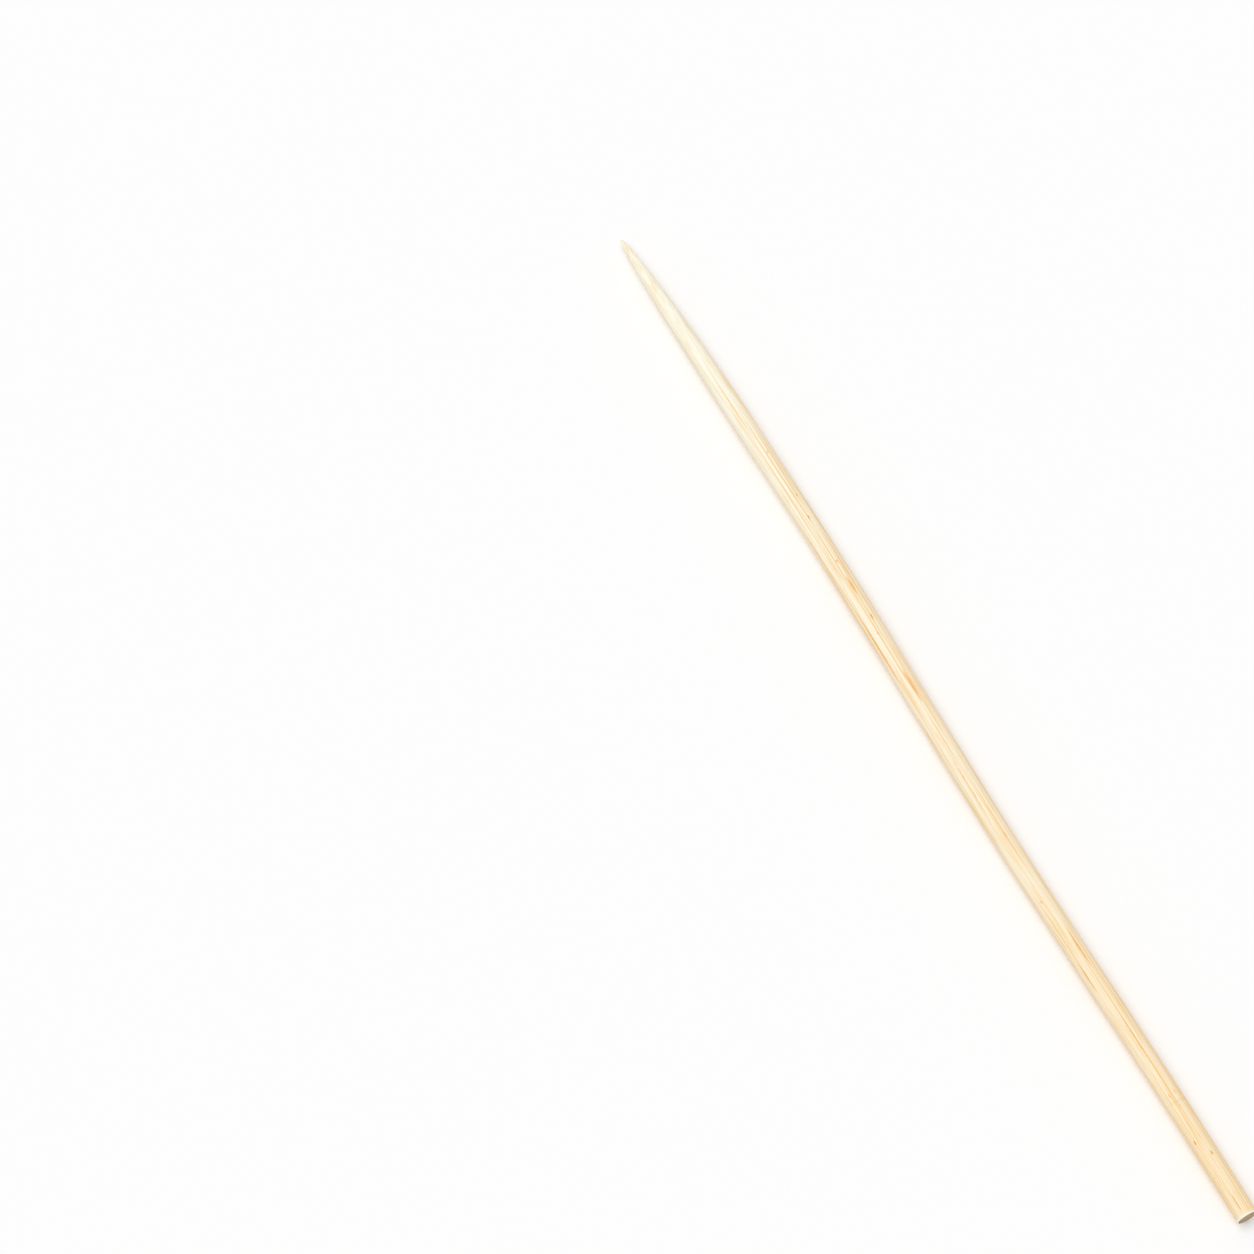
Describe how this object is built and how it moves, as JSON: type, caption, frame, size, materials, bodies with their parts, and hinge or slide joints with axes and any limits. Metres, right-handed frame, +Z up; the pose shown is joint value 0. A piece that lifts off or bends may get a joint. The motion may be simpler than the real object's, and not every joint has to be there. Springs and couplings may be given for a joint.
{
  "type": "corn skewer",
  "caption": "Thick round bamboo skewer for corn on the cob, with a long ground point and a square sawn end.",
  "frame": {"origin": "middle of the stick's box, on the table plane under it", "axes": "+X along the stick towards its point, +Z up from the table it lies on"},
  "size_m": [0.3, 0.0066, 0.0054],
  "materials": {
    "bamboo": "bare bamboo, satin to matt, pale straw with fine golden streaks along the grain"
  },
  "bodies": {
    "root": {"skewer": "bamboo"}
  },
  "joints": []
}
